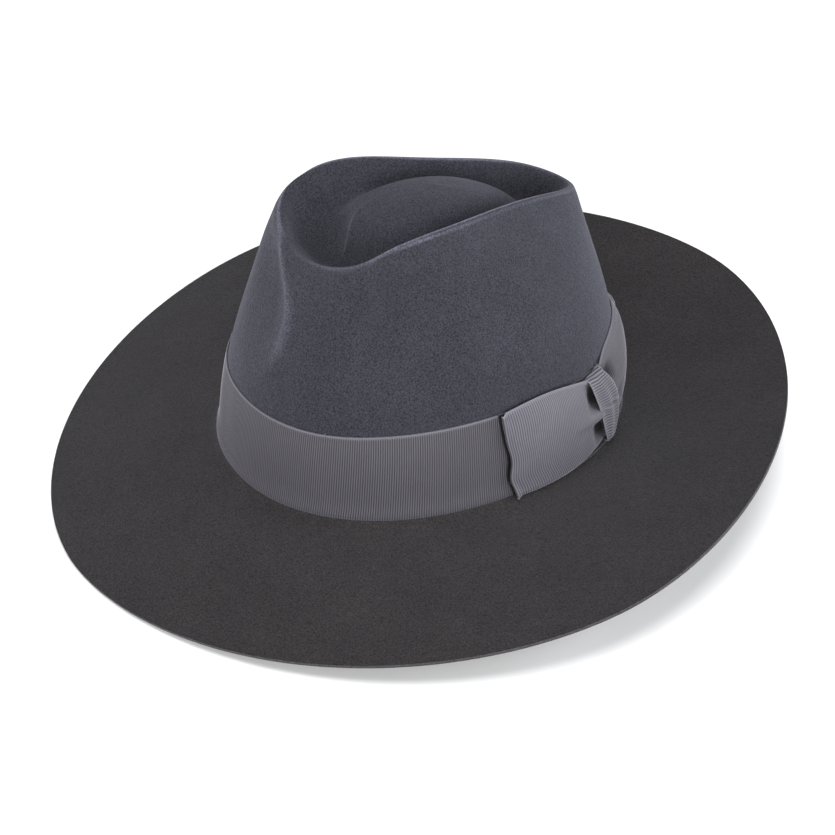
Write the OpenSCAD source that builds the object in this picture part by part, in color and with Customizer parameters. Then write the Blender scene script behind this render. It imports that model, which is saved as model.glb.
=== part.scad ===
// Wide-brim felt fedora with a teardrop crown, a ribbed ribbon band and a flat side bow.
// The front of the hat faces -Y, the wearer's left is +X and the crown rises along +Z.
// The origin is the middle of the head opening, level with the break between crown and brim.
//
// The felt is one skin. Going round the hat by an angle t, from the front (0) over the
// wearer's left (90) to the back (180), each t has a column of control points that runs from
// the brim's edge, over the break and the crown's ridge, to the middle of the crown's top.
// A cubic B-spline through each column gives the skin, and every other piece lies at a
// stated depth from it.

/* [Head opening] */
// Length of the felt oval at the break, front to back
opening_length = 210; // [196:1:224]
// Width of the felt oval at the break
opening_width = 170; // [158:1:182]
// How far the break sits lower at front and back than at the sides
break_dip = 3; // [0:0.5:6]
// Thickness of the felt
felt = 1.8; // [1.4:0.1:2.4]

/* [Brim] */
// Width of the brim at the front and the back, seen from above
brim_front = 87; // [60:1:95]
// Width of the brim at the sides, seen from above
brim_side = 89.5; // [60:0.5:95]
// Height of the edge above the break, halfway round
brim_rise = 4.5; // [0:0.5:12]
// Drop of the edge at the front, and its rise at the back
brim_snap = 22; // [0:1:26]
// Exponent of the edge's outline, 2 for an ellipse
brim_outline = 1.85; // [1.8:0.01:2.2]

/* [Crown] */
// Mean height of the ridge above the break
crown_height = 120; // [105:1:130]
// Rise of the ridge that repeats once, twice, three and four times round
ridge_rise = [3.8, -6.3, -2, -1.7]; // [-8:0.1:8]
// Half-width of the ridge: terms that repeat once, twice and three times round
ridge_half_width = [40.8, 13.3, 5.6]; // [0:0.1:44]
// Half-length of the ridge: terms that repeat once, twice and three times round
ridge_half_length = [75.2, -1.4, 2.4]; // [-3:0.1:78]
// Distance of the ridge's middle behind the opening's middle
ridge_back = 3; // [0:1:8]
// Taper of the wall at a third of its height: front, side and back
lower_taper = [4, 9.9, 4.2]; // [2:0.1:12]
// Taper of the wall at two thirds of its height: front, side and back
upper_taper = [15, 16.8, 14.6]; // [10:0.1:20]

/* [Front pinch] */
// Angle from the front to the middle of each pinch
pinch_angle = 50; // [42:1:56]
// Reach of each pinch towards the front and towards the side, as angles
pinch_reach = [16, 29]; // [12:1:34]
// Depth of each pinch at a third, at two thirds and at the ridge
pinch_depth = [0.4, 11.4, 5.8]; // [0:0.1:14]

/* [Crown top] */
// Height of the dome's middle above the break
dome_height = 126; // [112:1:130]
// Rise of the dome towards the front
dome_tilt = 6; // [0:1:12]
// Fall of the dome at 40 mm to the side, and at 75 mm to the front or back
dome_fall = [18, 38]; // [8:1:44]
// Depth of the groove round the dome, as a share of the ridge's height
groove_share = 0.12; // [0.08:0.01:0.14]

/* [Ribbon and bow] */
// Width of the ribbon
ribbon_width = 42; // [30:1:46]
// Height of the ribbon's lower edge above the break
ribbon_lift = 2; // [1.5:0.5:4]
// Thickness of the ribbon
ribbon = 0.8; // [0.5:0.1:1.2]
// Angle to the folded front end of the bow
bow_front = 86; // [80:1:92]
// Angles to the front and back edges of the knot
knot_edges = [125, 135]; // [118:1:140]
// Angle to the back end of the bow
bow_back = 168; // [150:1:172]
// How far the back loop climbs up the crown on its way to its folded end
bow_rise = 12; // [0:1:18]
// How far the loops and the knot stand off the ribbon
bow_depth = [3.2, 5.6]; // [2:0.1:8]

/* [Sweatband] */
// Height of the leather
leather_width = 40; // [30:1:44]
// Thickness of the leather
leather = 1.1; // [0.8:0.1:1.4]
// Diameter of the plastic reed
reed = 1.6; // [1.2:0.1:2]
// Thickness of the tape round the reed
reed_cover = 0.5; // [0.3:0.1:0.7]

/* [Lining] */
// Thickness of the satin
satin = 0.4; // [0.3:0.1:0.6]
// Height of the lining's lower edge, hidden behind the leather
lining_hem = 10; // [8:1:14]

/* [Hidden] */

gap = 0.2;                     // clearance between neighbouring layers
half_length = opening_length / 2;
half_width = opening_width / 2;
edge_half_length = half_length + brim_front;
edge_half_width = half_width + brim_side;
oval = 2.1;                    // exponent of the head opening's outline
ribbon_top = ribbon_lift + ribbon_width;

// Depths of the layers below the outer face of the felt
lining_out = felt + gap;
lining_in = lining_out + satin;
tag_out = lining_in + gap / 2;
tag_in = tag_out + 0.3;
leather_out = tag_in + gap / 2;
leather_in = leather_out + leather;
reed_tape_r = reed / 2 + reed_cover;
reed_depth = felt + gap + reed_tape_r;
reed_z = reed_tape_r - 1.5;

// ---- the skin ----

function outline_radius(t, a, b, n) =
    pow(pow(abs(cos(t) / a), n) + pow(abs(sin(t) / b), n), -1 / n);

// 1 in the middle of a pinch, falling to 0 either side of it
function pinch(t) =
    let (d = abs(t) - pinch_angle, w = d < 0 ? pinch_reach[0] : pinch_reach[1])
    exp(-pow(d / w, 2));

// A value that changes smoothly from the front to the sides to the back
function round_hat(v, t) =
    v[1] + (v[0] - v[1]) * pow(max(cos(t), 0), 2) + (v[2] - v[1]) * pow(max(-cos(t), 0), 2);

function break_z(t) = -break_dip / 2 * cos(2 * t);

function ridge_z(t) = crown_height
    + ridge_rise[0] * cos(t) + ridge_rise[1] * cos(2 * t)
    + ridge_rise[2] * cos(3 * t) + ridge_rise[3] * cos(4 * t);

function edge_point(t) =
    let (r = outline_radius(t, edge_half_length, edge_half_width, brim_outline))
    [r * sin(t), -r * cos(t), brim_rise - brim_snap * cos(t)];

function break_point(t) =
    let (r = outline_radius(t, half_length, half_width, oval))
    [r * sin(t), -r * cos(t), break_z(t)];

// The brim, at share u of the way from the break to the edge
function brim_point(t, u) =
    let (p = break_point(t), q = edge_point(t))
    [p.x + (q.x - p.x) * u, p.y + (q.y - p.y) * u, p.z + (q.z - p.z) * pow(u, 1.35)];

// The wall, set in from the oval by taper and by a share of the pinch, at a share of its height
function wall_point(t, taper, share, dent) =
    let (r = outline_radius(t, half_length, half_width, oval) - taper)
    [r * sin(t) - sign(t) * dent * pinch(t), -r * cos(t), break_z(t) + share * ridge_z(t)];

// The crown's top, at share k of the way from its middle out to the ridge
function top_xy(t, k) =
    let (w = ridge_half_width, l = ridge_half_length)
    [k * (w[0] * sin(t) + w[1] * sin(2 * t) + w[2] * sin(3 * t))
        - sign(t) * pinch_depth[2] * pinch(t) * k,
     ridge_back - k * (l[0] * cos(t) + l[1] * cos(2 * t) + l[2] * cos(3 * t))];

function ridge_point(t, k, share) =
    let (p = top_xy(t, k)) [p.x, p.y, break_z(t) + share * ridge_z(t)];

function dome_point(t, k) =
    let (p = top_xy(t, k), v = (p.y - ridge_back) / 75)
    [p.x, p.y, dome_height - dome_tilt * v
        - dome_fall[0] * pow(p.x / 40, 2) - dome_fall[1] * v * v];

function mix(p, q, k) = p + (q - p) * k;

function control_column(t) =
    let (low = round_hat(lower_taper, t), up = round_hat(upper_taper, t),
        shoulder = wall_point(t, up, 0.66, pinch_depth[1]),
        ridge = ridge_point(t, 1, 1),
        upper = mix(shoulder, ridge, 0.75),
        groove = 1 - groove_share,
        edge = edge_point(t))
    [edge, edge, edge,
     brim_point(t, 0.97), brim_point(t, 0.66), brim_point(t, 0.33), brim_point(t, 0.06),
     wall_point(t, 0.3, 2.5 / ridge_z(t), 0), wall_point(t, 0.35 * low, 0.14, 0),
     wall_point(t, low, 0.36, pinch_depth[0]), shoulder,
     [upper.x, upper.y, break_z(t) + 0.905 * ridge_z(t)],
     ridge, ridge_point(t, 0.915, 1), ridge_point(t, 0.8, groove),
     ridge_point(t, 0.72 - 0.08 * pow(max(cos(t), 0), 2), groove),
     dome_point(t, 0.56), dome_point(t, 0.4), dome_point(t, 0.2),
     dome_point(t, 0), dome_point(t, 0), dome_point(t, 0)];

COLUMN_END = 19;               // value of s in the middle of the crown's top
RIDGE = 11;                    // value of s at the ridge

// The point at distance s along a column, from 0 at the brim's edge to COLUMN_END
function along(c, s) =
    let (i = min(floor(s), COLUMN_END - 1), u = s - i)
    (pow(1 - u, 3) * c[i] + (3 * pow(u, 3) - 6 * u * u + 4) * c[i + 1]
        + (-3 * pow(u, 3) + 3 * u * u + 3 * u + 1) * c[i + 2] + pow(u, 3) * c[i + 3]) / 6;

// The s at which a column's wall reaches height z
function s_at(c, z, lo = 5.5, hi = 11, n = 14) =
    let (m = (lo + hi) / 2)
    n == 0 ? m : along(c, m).z < z ? s_at(c, z, m, hi, n - 1) : s_at(c, z, lo, m, n - 1);

function unit(v) = v / norm(v);

// The skin's outward normal at angle t and distance s
function normal_at(t, s) =
    let (d = 0.5, e = 0.04, c = control_column(t),
        ahead = along(control_column(t + d), s), behind = along(control_column(t - d), s),
        up = along(c, min(s + e, COLUMN_END)), down = along(c, max(s - e, 0)))
    unit(cross(ahead - behind, up - down));

// A point on the wall at angle t and height z over the break, moved out by off
// Below the turn of the break it goes straight down, so that it stays inside the crown.
function wall_at(t, z, off) =
    let (base = break_z(t), c = control_column(t), s = s_at(c, base + max(z, 4)),
        p = along(c, s), n = normal_at(t, s), flat = unit([n.x, n.y, 0]))
    [p.x + flat.x * off, p.y + flat.y * off, base + z];

// ---- building solids ----

// A closed tube of sections. Each row of points is one section, and all have the same count.
// With ends shut it has a flat cap at each end, and otherwise the last section meets the first.
module tube(rows, shut = false) {
    n = len(rows);
    m = len(rows[0]);
    last = shut ? n - 2 : n - 1;
    sides = [for (j = [0:last], i = [0:m - 1])
        let (a = j * m + i, b = j * m + (i + 1) % m,
            c = ((j + 1) % n) * m + (i + 1) % m, d = ((j + 1) % n) * m + i)
        each [[a, b, c], [a, c, d]]];
    caps = shut ? [[for (i = [m - 1:-1:0]) i], [for (i = [0:m - 1]) (n - 1) * m + i]] : [];
    polyhedron(points = [for (r = rows) each r], faces = concat(sides, caps), convexity = 8);
}

// A strip that lies on the wall all the way round. low and high are its lower and upper
// heights, and inner and outer its depths, each a function of the share v of its height.
module wall_ring(low, high, inner, outer, steps = 4, columns = 72) {
    tube([for (j = [0:columns - 1])
        let (t = 180 - 360 * j / columns)
        concat(
            [for (i = [0:steps]) let (v = i / steps) wall_at(t, low + (high - low) * v, outer(v))],
            [for (i = [steps:-1:0])
                let (v = i / steps) wall_at(t, low + (high - low) * v, inner(v))])]);
}

// A pad that lies on the wall between two angles. Its heights and depths are functions of the
// share u of its length, and it is thickest halfway up.
module wall_pad(from, to, low, high, inner, outer, steps = 4, columns = 10) {
    tube([for (j = [0:columns])
        let (u = 1 - j / columns, t = from + (to - from) * u)
        concat(
            [for (i = [0:steps])
                let (v = i / steps, swell = sqrt(max(sin(180 * v), 0)))
                wall_at(t, low(u) + (high(u) - low(u)) * v,
                    inner + 0.5 + (outer(u) - inner - 0.5) * (0.5 + 0.5 * swell))],
            [for (i = [steps:-1:0])
                wall_at(t, low(u) + (high(u) - low(u)) * i / steps, inner)])], true);
}

// A thin round cord all the way round inside the crown, at a depth and a height z
module wall_cord(r, depth, z, sides = 8, columns = 72) {
    tube([for (j = [0:columns - 1])
        let (t = 180 - 360 * j / columns)
        [for (i = [0:sides - 1])
            let (a = 360 * i / sides)
            wall_at(t, z + r * sin(a), -depth + r * cos(a))]]);
}

// The skin between two distances s, as a sheet between two depths
function sheet_rows(from, to, steps, columns, depth) =
    [for (i = [0:steps])
        let (s = from + (to - from) * i / steps)
        [for (j = [0:columns - 1])
            let (t = -180 + 360 * (j + 0.5) / columns, c = control_column(t))
            along(c, s) - depth * normal_at(t, s)]];

function level(z) = function (u) z;

// ---- the felt and its trim ----

module felt_body() {
    columns = 72;
    rows = 37;
    step = (COLUMN_END - 0.4) / (rows - 1);
    outer = sheet_rows(0, COLUMN_END - 0.4, rows - 1, columns, 0);
    inner = sheet_rows(0, COLUMN_END - 0.4, rows - 1, columns, felt);
    middle = dome_point(0, 0);
    points = concat([for (r = outer) each r], [for (r = inner) each r],
        [middle, middle - [0, 0, felt]]);
    count = rows * columns;
    top = 2 * count;
    function at(i, j) = i * columns + j % columns;
    skins = [for (i = [0:rows - 2], j = [0:columns - 1])
        let (a = at(i, j), b = at(i, j + 1), c = at(i + 1, j + 1), d = at(i + 1, j))
        each [[a, c, b], [a, d, c],
            [count + a, count + b, count + c], [count + a, count + c, count + d]]];
    brim_cut = [for (j = [0:columns - 1])
        let (a = at(0, j), b = at(0, j + 1))
        each [[a, b, count + b], [a, count + b, count + a]]];
    tips = [for (j = [0:columns - 1])
        let (a = at(rows - 1, j), b = at(rows - 1, j + 1))
        each [[a, top, b], [count + a, count + b, top + 1]]];
    color([0.27, 0.27, 0.3])
        polyhedron(points = points, faces = concat(skins, brim_cut, tips), convexity = 10);
}

module band_ribbon() {
    color([0.42, 0.42, 0.46])
        wall_ring(ribbon_lift, ribbon_top, function (v) 0.1, function (v) 0.1 + ribbon);
}

// Six small thread bars that tie the ribbon's upper edge to the felt
module band_tacks() {
    color([0.3, 0.3, 0.33])
        for (t = [-150:60:150])
            wall_pad(t, t + 1.2, level(ribbon_top - 1.5), level(ribbon_top + 1.5),
                ribbon + 0.2, level(ribbon + 1), 2, 1);
}

// The long loop, flat at its folded end and gathered where the knot holds it
module bow_front_loop() {
    color([0.46, 0.46, 0.5])
        wall_pad(bow_front, knot_edges[0] - 0.3,
            function (u) ribbon_lift + 5 * pow(u, 5), function (u) ribbon_top - 5 * pow(u, 5),
            ribbon + 0.1 + gap,
            function (u) ribbon + 1.2 + bow_depth[0] * sin(20 + 130 * u));
}

// Height that the back loop has climbed, steeply at first, at share u of its way
function climb(u) = bow_rise * (1 - pow(1 - u, 4));

module bow_rear_loop() {
    color([0.46, 0.46, 0.5])
        wall_pad(knot_edges[1] + 0.3, bow_back,
            function (u) ribbon_lift + 5 * pow(1 - u, 5) + climb(u),
            function (u) ribbon_top - 2 * pow(1 - u, 5) + climb(u),
            ribbon + 0.1 + gap,
            function (u) ribbon + 1.2 + bow_depth[0] * sin(150 - 130 * u));
}

// The narrow ribbon round the bow's waist
module bow_knot() {
    color([0.44, 0.44, 0.48])
        wall_pad(knot_edges[0], knot_edges[1],
            level(ribbon_lift + 1), level(ribbon_top + 1), ribbon + 0.1 + gap,
            function (u) ribbon + bow_depth[1] - 1.2 * pow(2 * u - 1, 2), 6, 4);
}

// Two thread bars at the knot's foot and head
module bow_tacks() {
    middle = (knot_edges[0] + knot_edges[1]) / 2;
    color([0.3, 0.3, 0.33])
        for (z = [ribbon_lift - 0.4, ribbon_top + 1.3])
            wall_pad(middle - 1, middle + 1, level(z), level(z + 0.9), 0.2, level(2.2), 1, 1);
}

// ---- inside the crown ----

// Depth of the leather, which swings in round the reed at its lower edge
function leather_depth(z) =
    leather_out + (reed_depth + reed_tape_r + 0.1 - leather_out) * exp(-pow(max(z, 0) / 7, 2));

module sweatband() {
    color([0.2, 0.15, 0.12])
        wall_ring(-1.5, leather_width - 1.5,
            function (v) -leather_depth(leather_width * v - 1.5) - leather,
            function (v) -leather_depth(leather_width * v - 1.5), 6);
}

module sweatband_reed() {
    color([0.75, 0.75, 0.72]) wall_cord(reed / 2, reed_depth, reed_z);
}

module reed_tape() {
    color([0.15, 0.15, 0.16])
        tube([for (j = [0:71])
            let (t = 180 - 5 * j)
            [for (k = [0:11])
                let (i = min(k, 11 - k), a = 45 + 54 * i,
                    r = k < 6 ? reed_tape_r : reed / 2 + 0.15)
                wall_at(t, reed_z + r * sin(a), -reed_depth + r * cos(a))]]);
}

// The seam that joins the leather to the reed's tape
module sweatband_stitching() {
    z = reed_z + reed_tape_r + 1.2;
    color([0.5, 0.45, 0.4]) wall_cord(0.3, leather_depth(z) + leather + 0.35, z, 6);
}

module sweatband_seam_tape() {
    depth = leather_in + 0.1;
    color([0.12, 0.12, 0.13])
        wall_pad(174, 180, level(8), level(leather_width - 2), -depth - 1.2, level(-depth - 0.2), 2, 2);
}

// The two loops of the small bow at the back of the leather
module sweatband_bow() {
    depth = leather_in + 1.6;
    color([0.12, 0.12, 0.13])
        for (from = [171.4, 177.6])
            wall_pad(from, from + 5, level(14), level(20), -depth - 1.4, level(-depth + 0.1), 2, 4);
}

module sweatband_bow_knot() {
    depth = leather_in + 1.6;
    color([0.12, 0.12, 0.13])
        wall_pad(176.6, 177.4, level(14), level(20), -depth - 1.7, level(-depth + 0.2), 2, 2);
}

// The satin round the sides, from behind the leather up to the ridge
module lining_side() {
    columns = 72;
    steps = 6;
    top_s = RIDGE - 1;
    color([0.28, 0.28, 0.32])
        tube([for (j = [0:columns - 1])
            let (t = 180 - 360 * j / columns, c = control_column(t),
                from = s_at(c, break_z(t) + lining_hem))
            concat(
                [for (i = [0:steps])
                    let (s = from + (top_s - from) * i / steps)
                    along(c, s) - lining_out * normal_at(t, s)],
                [for (i = [steps:-1:0])
                    let (s = from + (top_s - from) * i / steps)
                    along(c, s) - lining_in * normal_at(t, s)])]);
}

// The satin under the crown's top
module lining_tip() {
    columns = 48;
    steps = 7;
    from = RIDGE + 1.2;
    to = COLUMN_END - 0.6;
    outer = sheet_rows(from, to, steps, columns, lining_out);
    inner = sheet_rows(from, to, steps, columns, lining_in);
    middle = dome_point(0, 0);
    count = (steps + 1) * columns;
    top = 2 * count;
    function at(i, j) = i * columns + j % columns;
    skins = [for (i = [0:steps - 1], j = [0:columns - 1])
        let (a = at(i, j), b = at(i, j + 1), c = at(i + 1, j + 1), d = at(i + 1, j))
        each [[a, c, b], [a, d, c],
            [count + a, count + b, count + c], [count + a, count + c, count + d]]];
    edge = [for (j = [0:columns - 1])
        let (a = at(0, j), b = at(0, j + 1))
        each [[a, b, count + b], [a, count + b, count + a]]];
    tips = [for (j = [0:columns - 1])
        let (a = at(steps, j), b = at(steps, j + 1))
        each [[a, top, b], [count + a, count + b, top + 1]]];
    color([0.28, 0.28, 0.32])
        polyhedron(
            points = concat([for (r = outer) each r], [for (r = inner) each r],
                [middle - [0, 0, lining_out], middle - [0, 0, lining_in]]),
            faces = concat(skins, edge, tips), convexity = 10);
}

// The corded seam between side and tip, just under the ridge
module lining_piping() {
    columns = 72;
    r = 0.7;
    depth = lining_in + 0.9;
    color([0.2, 0.2, 0.22])
        tube([for (j = [0:columns - 1])
            let (t = 180 - 360 * j / columns, p = along(control_column(t), RIDGE - 0.4),
                n = normal_at(t, RIDGE - 0.4), out = unit([n.x, n.y, 0]))
            [for (i = [0:7])
                p - depth * n + r * cos(45 * i) * out + [0, 0, r * sin(45 * i)]]]);
}

// Eight thread bars that hold the lining's lower edge
module lining_tacks() {
    color([0.2, 0.2, 0.22])
        for (t = [-157.5:45:157.5])
            wall_pad(t, t + 1.5, level(lining_hem - 1.5), level(lining_hem - 0.3),
                -lining_in, level(-lining_out), 2, 1);
}

// The blank paper tag tucked behind the leather
module size_tag() {
    color([0.9, 0.89, 0.85])
        wall_pad(-174, -164, level(16), level(leather_width - 8), -tag_in, level(-tag_out + 0.1), 2, 3);
}

felt_body();
band_ribbon();
band_tacks();
bow_front_loop();
bow_rear_loop();
bow_knot();
bow_tacks();
sweatband();
sweatband_reed();
reed_tape();
sweatband_stitching();
sweatband_seam_tape();
sweatband_bow();
sweatband_bow_knot();
lining_side();
lining_tip();
lining_piping();
lining_tacks();
size_tag();
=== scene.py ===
"""A wide-brim felt fedora, built around its CAD frame.

The front of the hat faces -Y, the wearer's left is +X and the crown rises along +Z. Shapes are
worked out in millimetres from the same driving sizes as the CAD model, and turned into metres
when a mesh is made. An angle t goes round the hat from the front (0) over the wearer's left
(90 degrees) to the back. A depth or a lift is measured from the outer face of the felt.
"""
import math
from collections import namedtuple

import bpy
import numpy as np
from mathutils import Matrix, Vector


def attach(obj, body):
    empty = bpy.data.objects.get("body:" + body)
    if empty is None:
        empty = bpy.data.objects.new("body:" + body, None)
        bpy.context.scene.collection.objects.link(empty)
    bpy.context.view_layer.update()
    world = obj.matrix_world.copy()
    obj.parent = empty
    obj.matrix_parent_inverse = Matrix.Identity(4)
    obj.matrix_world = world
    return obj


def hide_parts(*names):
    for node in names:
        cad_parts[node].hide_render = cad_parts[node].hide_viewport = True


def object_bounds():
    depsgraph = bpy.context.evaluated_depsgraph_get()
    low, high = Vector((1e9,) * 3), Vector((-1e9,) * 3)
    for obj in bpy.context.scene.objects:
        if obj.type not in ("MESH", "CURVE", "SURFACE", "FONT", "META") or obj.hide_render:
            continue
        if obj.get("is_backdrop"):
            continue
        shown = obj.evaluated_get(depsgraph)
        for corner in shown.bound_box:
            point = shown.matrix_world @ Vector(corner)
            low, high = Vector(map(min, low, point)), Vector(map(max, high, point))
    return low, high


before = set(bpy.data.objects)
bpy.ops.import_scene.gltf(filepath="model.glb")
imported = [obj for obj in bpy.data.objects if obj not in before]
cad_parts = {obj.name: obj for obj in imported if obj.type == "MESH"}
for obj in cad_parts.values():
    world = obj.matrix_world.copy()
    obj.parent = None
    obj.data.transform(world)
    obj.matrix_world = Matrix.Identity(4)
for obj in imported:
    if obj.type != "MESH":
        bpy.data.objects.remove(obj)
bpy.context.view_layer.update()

MM = 0.001

# ---------------------------------------------------------------- driving sizes, millimetres

OPENING = (85.0, 105.0)              # half-width and half-length of the felt oval at the break
OPENING_POWER = 2.1
BREAK_DIP = 3.0
FELT = 1.8

BRIM = (89.5, 87.0)                  # width at the sides, and at the front and back
BRIM_RISE, BRIM_SNAP, BRIM_POWER = 4.5, 22.0, 1.85

CROWN_HEIGHT = 120.0
RIDGE_RISE = (3.8, -6.3, -2.0, -1.7)
RIDGE_HALF_WIDTH = (40.8, 13.3, 5.6)
RIDGE_HALF_LENGTH = (75.2, -1.4, 2.4)
RIDGE_BACK = 3.0
LOWER_TAPER = (4.0, 9.9, 4.2)        # front, side, back
UPPER_TAPER = (15.0, 16.8, 14.6)

PINCH_ANGLE = 50.0
PINCH_REACH = (16.0, 29.0)
PINCH_DEPTH = (0.4, 11.4, 5.8)

DOME_HEIGHT, DOME_TILT = 126.0, 6.0
DOME_REACH, DOME_FALL = (40.0, 75.0), (18.0, 38.0)   # across and along the hat
GROOVE_SHARE = 0.12

RIBBON_LIFT, RIBBON_WIDTH, RIBBON = 2.0, 42.0, 0.7
RIBBON_TOP = RIBBON_LIFT + RIBBON_WIDTH
RIB_PITCH, RIB_HEIGHT = 1.1, 0.22
BAND_GAP = 0.12                      # between the felt and the back of the band

# A loop of the bow. fold and end are the angles of its folded end and of its end under the knot,
# each at the loop's lower and upper edge. The rest are millimetres, apart from hug and hollows.
Loop = namedtuple("Loop", (
    "fold", "end",
    "spread",                        # how far its belly stands out
    "rise",                          # how far its lower edge rises to the knot
    "crest", "sink",                 # how far its upper edge swells, and drops to the knot
    "climb",                         # how far it climbs the crown towards its fold
    "hug",                           # share of its lift that is left at its edges
    "hollows"))                      # middle and half-width of each hollow beside the knot
FRONT_LOOP = Loop((88.4, 84.9), (130.0, 126.5), spread=3.3, rise=5.0, crest=2.6, sink=3.2,
                  climb=0.0, hug=0.18, hollows=((0.75, 0.22), (0.22, 0.2)))
REAR_LOOP = Loop((168.0, 168.0), (132.0, 131.0), spread=0.9, rise=4.0, crest=0.0, sink=0.6,
                 climb=9.0, hug=0.10, hollows=((0.74, 0.18), (0.24, 0.16)))
FOLD_R = 1.25                        # radius of the turn at each end of the bow
INNER_LIFT = 1.5                     # middle of the layer that lies on the band
KNOT_MIDDLE, KNOT_HALF_HEIGHT, KNOT_LIFT = 25.4, 21.0, 5.5
KNOT_WIDTH, KNOT_RIB_TILT, KNOT_RIB_SCALE = 16.0, -1.8, 0.64

LEATHER_LOW, LEATHER_WIDTH, LEATHER = -1.5, 40.0, 1.1
LEATHER_DEPTH, REED_SWING = 2.9, 1.8
REED_R, REED_TAPE_R, REED_CENTRE = 0.8, 1.3, (-0.2, 3.3)
STITCH_COUNT, STITCH_HEIGHT, STITCH_SHARE = 236, 2.3, 0.8
SEAM_RIBBON, SEAM_ANGLES, SEAM_HEIGHTS = 0.35, (174.2, 179.8), (8.0, 38.0)
SMALL_BOW_ANGLE, SMALL_BOW_REACH, SMALL_BOW_HEIGHT, SMALL_BOW_CLOTH = 177.0, 5.0, 17.0, 0.3
SATIN, SATIN_GATHER, LINING_DEPTH, TIP_DEPTH = 0.3, 1.05, 2.2, 2.25
PIPING_S, PIPING_DEPTH, PIPING_R = 10.6, 3.3, 0.7
TAG_ANGLES, TAG_HEIGHTS, TAG_DEPTH, PAPER = (-174, -164), (16, 32), 2.62, 0.15

# Relief that only the visible felt has. The crease is the crisp line down the crown's front.
CREASE_LIFT, CREASE_HALF_WIDTH = 1.6, 2.0           # millimetres, degrees
CREASE_ANGLE, CREASE_TOP, CREASE_FOOT = 10.6, (84, 14, 26), (80, 8.5, 25)
FACE_HOLLOW, CHEEK_HOLLOW, SIDE_DENT = 2.4, 1.5, 2.8
DENT_MIDDLE, DENT_HALF_SIZE = (70, 87), (31, 23)    # degrees round, millimetres up
RIM_LIFT, RIM_REACH = 0.5, 0.15

# ---------------------------------------------------------------- the skin of the felt


def points(x, y, z):
    return np.stack(np.broadcast_arrays(x, y, z), -1)


def outline_radius(t, a, b, n):
    return (np.abs(np.cos(t) / a) ** n + np.abs(np.sin(t) / b) ** n) ** (-1 / n)


def pinch(t):
    """1 in the middle of a front pinch, falling to 0 either side of it."""
    d = np.abs(t) - math.radians(PINCH_ANGLE)
    reach = np.where(d < 0, *np.radians(PINCH_REACH))
    return np.exp(-(d / reach) ** 2)


def round_hat(v, t):
    """A value that changes smoothly from the front to the sides to the back."""
    c = np.cos(t)
    return v[1] + (v[0] - v[1]) * np.maximum(c, 0) ** 2 + (v[2] - v[1]) * np.maximum(-c, 0) ** 2


def break_z(t):
    return -BREAK_DIP / 2 * np.cos(2 * t)


def ridge_z(t):
    return CROWN_HEIGHT + sum(a * np.cos(k * t) for k, a in enumerate(RIDGE_RISE, 1))


def oval_point(t, grow, n, z):
    r = outline_radius(t, OPENING[1] + grow[1], OPENING[0] + grow[0], n)
    return points(r * np.sin(t), -r * np.cos(t), z)


def brim_point(t, u):
    """The brim, at share u of the way from the break to the edge."""
    p = oval_point(t, (0, 0), OPENING_POWER, break_z(t))
    q = oval_point(t, BRIM, BRIM_POWER, BRIM_RISE - BRIM_SNAP * np.cos(t))
    return p + (q - p) * np.array([u, u, u ** 1.35])


def wall_point(t, taper, share, dent):
    """The wall, set in from the oval by taper and by the pinch, at a share of its height."""
    r = outline_radius(t, OPENING[1], OPENING[0], OPENING_POWER) - taper
    return points(r * np.sin(t) - np.sign(t) * dent * pinch(t), -r * np.cos(t),
                  break_z(t) + share * ridge_z(t))


def top_xy(t, k):
    """The crown's top, at share k of the way from its middle out to the ridge."""
    x = sum(a * np.sin(i * t) for i, a in enumerate(RIDGE_HALF_WIDTH, 1))
    y = sum(a * np.cos(i * t) for i, a in enumerate(RIDGE_HALF_LENGTH, 1))
    return k * (x - np.sign(t) * PINCH_DEPTH[2] * pinch(t)), RIDGE_BACK - k * y


def ridge_point(t, k, share):
    x, y = top_xy(t, k)
    return points(x, y, break_z(t) + share * ridge_z(t))


def dome_point(t, k):
    x, y = top_xy(t, k)
    u, v = x / DOME_REACH[0], (y - RIDGE_BACK) / DOME_REACH[1]
    return points(x, y, DOME_HEIGHT - DOME_TILT * v - DOME_FALL[0] * u * u - DOME_FALL[1] * v * v)


def blunt(outline, t, *values):
    """An outline evened out along its length, so that its front end is round."""
    near = ((-0.44, 0.14), (-0.22, 0.22), (0, 0.28), (0.22, 0.22), (0.44, 0.14))
    return sum(weight * outline(t + step, *values) for step, weight in near)


def groove_foot(t, height):
    """Where the groove round the dome turns up into it."""
    return ridge_point(t, 0.72 - 0.08 * np.maximum(np.cos(t), 0) ** 2, height)


def control_columns(t):
    """The control points of each column, from the brim's edge to the middle of the crown."""
    low, up = round_hat(LOWER_TAPER, t), round_hat(UPPER_TAPER, t)
    shoulder, ridge = wall_point(t, up, 0.66, PINCH_DEPTH[1]), ridge_point(t, 1, 1)
    upper = shoulder + (ridge - shoulder) * 0.75
    upper[..., 2] = break_z(t) + 0.905 * ridge_z(t)
    groove = 1 - GROOVE_SHARE
    edge, middle = brim_point(t, 1), dome_point(t, 0)
    return np.stack([
        edge, edge, edge,
        brim_point(t, 0.97), brim_point(t, 0.66), brim_point(t, 0.33), brim_point(t, 0.06),
        wall_point(t, 0.3, 2.5 / ridge_z(t), 0), wall_point(t, 0.35 * low, 0.14, 0),
        wall_point(t, low, 0.36, PINCH_DEPTH[0]), shoulder, upper,
        ridge, ridge_point(t, 0.915, 1), ridge_point(t, 0.8, groove),
        blunt(groove_foot, t, groove),
        *[blunt(dome_point, t, k) for k in (0.56, 0.4, 0.2)], middle, middle, middle])


COLUMN_END = 19                      # distance s in the middle of the crown's top
BREAK_S, RIDGE_S = 5.5, 11.0         # distance s at the break and at the ridge


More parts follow.
